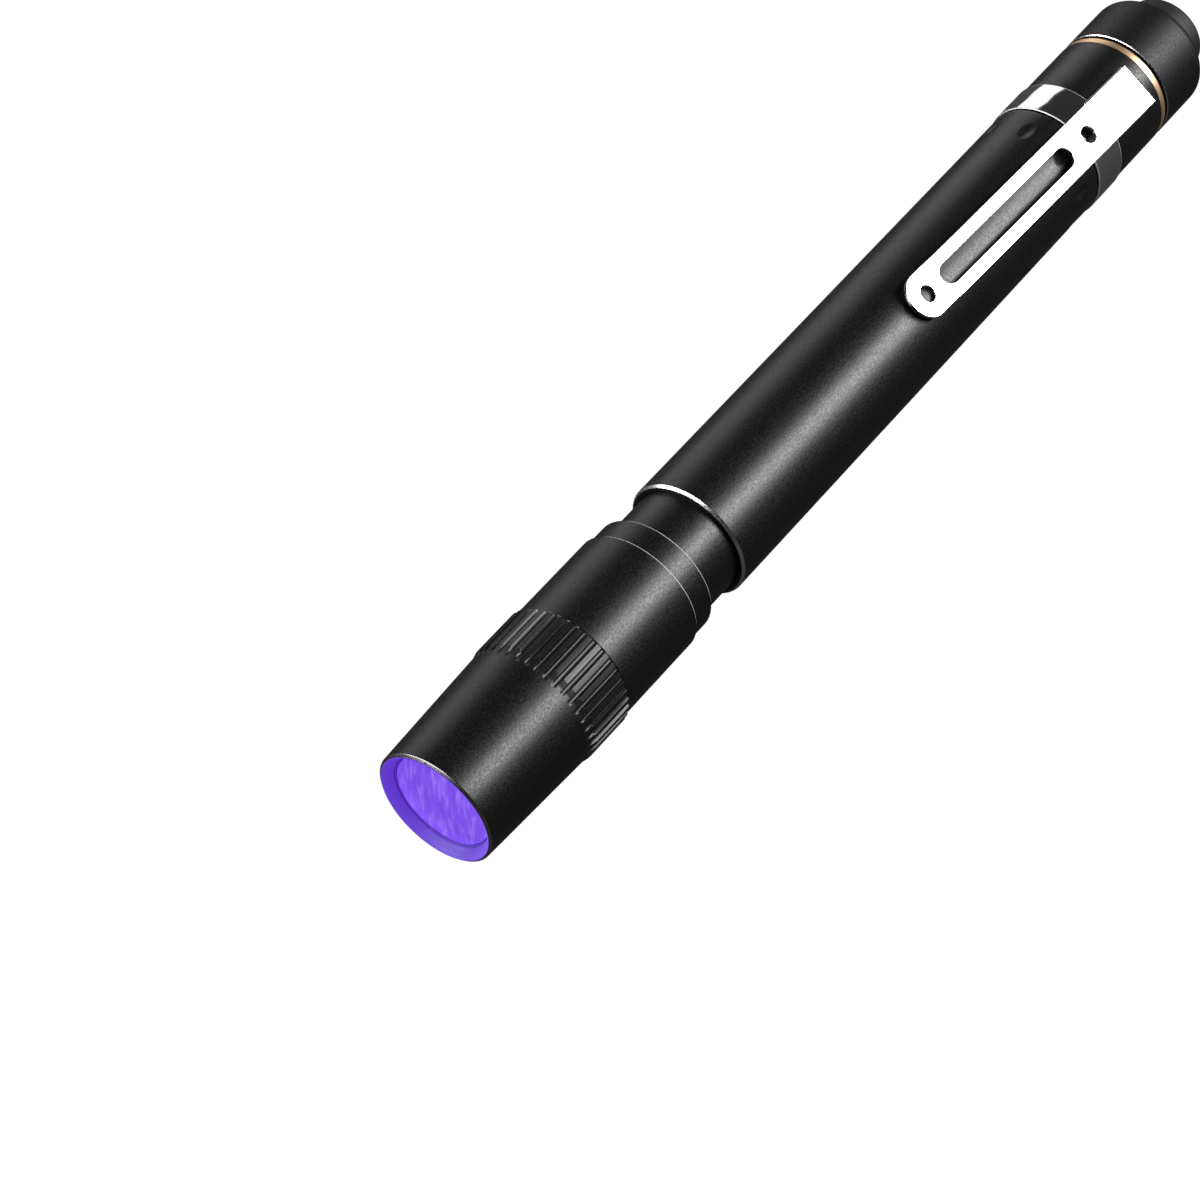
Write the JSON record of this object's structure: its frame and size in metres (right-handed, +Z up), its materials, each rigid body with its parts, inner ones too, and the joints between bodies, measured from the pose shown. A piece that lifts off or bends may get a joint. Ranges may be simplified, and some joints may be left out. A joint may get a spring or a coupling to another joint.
{
  "type": "counterfeit detector pen",
  "caption": "Slim ultraviolet pen torch for checking banknotes, with a sliding, turning focus head, ribbed grip, sprung steel pocket clip and push switch in a screwed tail cap.",
  "frame": {"origin": "middle of the pen's length, straight below its axis, on the surface it lies on", "axes": "+X along the pen from the lens to the tail button, +Z up; the clip leans 34 degrees from +Z towards -Y"},
  "size_m": [0.1358, 0.0152, 0.0161],
  "materials": {
    "black_anodised": "black anodised, fine bead-blasted satin",
    "dark_anodised": "dull black anodised inside the head",
    "polished_steel": "polished stainless sheet",
    "brass": "turned brass, copper tone",
    "seal_rubber": "matte nitrile rubber",
    "button_rubber": "fine matte rubber",
    "clear_acrylic": "clear moulded lens, lit violet",
    "led_dome": "clear silicone dome, lit violet",
    "board_core": "white-masked aluminium core board",
    "green_board": "green solder mask",
    "spring_wire": "plated spring wire",
    "cell_sleeve": "plain shrink sleeve on a steel can",
    "white_nylon": "moulded nylon"
  },
  "bodies": {
    "barrel": {"neck_tube": "black_anodised", "neck_oring": "seal_rubber", "uv_led": "led_dome", "led_board": "board_core", "led_pill": "brass", "driver_board": "green_board", "driver_spring": "spring_wire", "body_tube": "black_anodised", "battery_front": "cell_sleeve", "battery_rear": "cell_sleeve", "brass_ring": "brass", "clip_band": "polished_steel"},
    "focus_seal": {"focus_oring": "seal_rubber"},
    "focus_head": {"front_bezel": "black_anodised", "lens_gasket": "seal_rubber", "lens": "clear_acrylic", "lens_retainer": "dark_anodised", "focus_sleeve": "black_anodised", "sleeve_end_ring": "black_anodised"},
    "clip_arm": {"clip_arm": "polished_steel"},
    "cap_seal": {"tail_oring": "seal_rubber"},
    "tail_cap": {"tail_cap": "black_anodised", "switch_housing": "white_nylon", "switch_retainer": "brass", "switch_contact": "brass", "switch_spring": "spring_wire", "tail_spring": "spring_wire"},
    "button": {"tail_button": "button_rubber", "switch_plunger": "white_nylon"}
  },
  "joints": [
    {"name": "focus_spin", "type": "hinge", "parent": "barrel", "child": "focus_seal", "pos_m": [-0.03862, 0, 0.00755], "axis": [1, 0, 0], "continuous": true},
    {"name": "focus_slide", "type": "slide", "parent": "focus_seal", "child": "focus_head", "axis": [1, 0, 0], "range_m": [0, 0.0052]},
    {"name": "cap_lift", "type": "slide", "parent": "barrel", "child": "cap_seal", "axis": [1, 0, 0], "range_m": [0, 0.0032]},
    {"name": "cap_turn", "type": "hinge", "parent": "cap_seal", "child": "tail_cap", "pos_m": [0.05634, 0, 0.00755], "axis": [1, 0, 0], "range_deg": [0, 1440]},
    {"name": "button_press", "type": "slide", "parent": "tail_cap", "child": "button", "axis": [-1, 0, 0], "range_m": [0, 0.0014], "stiffness_N_per_m": 1500, "springref_m": -0.0006, "deforming": ["switch_spring"]},
    {"name": "clip_flex", "type": "hinge", "parent": "barrel", "child": "clip_arm", "pos_m": [0.05195, -0.00435, 0.014], "axis": [0, 0.829, 0.5592], "range_deg": [0, 4], "stiffness_Nm_per_rad": 1.2}
  ],
  "couplings": [
    {"joint": "cap_turn", "follows": "cap_lift", "rad_per_m": 7854}
  ]
}
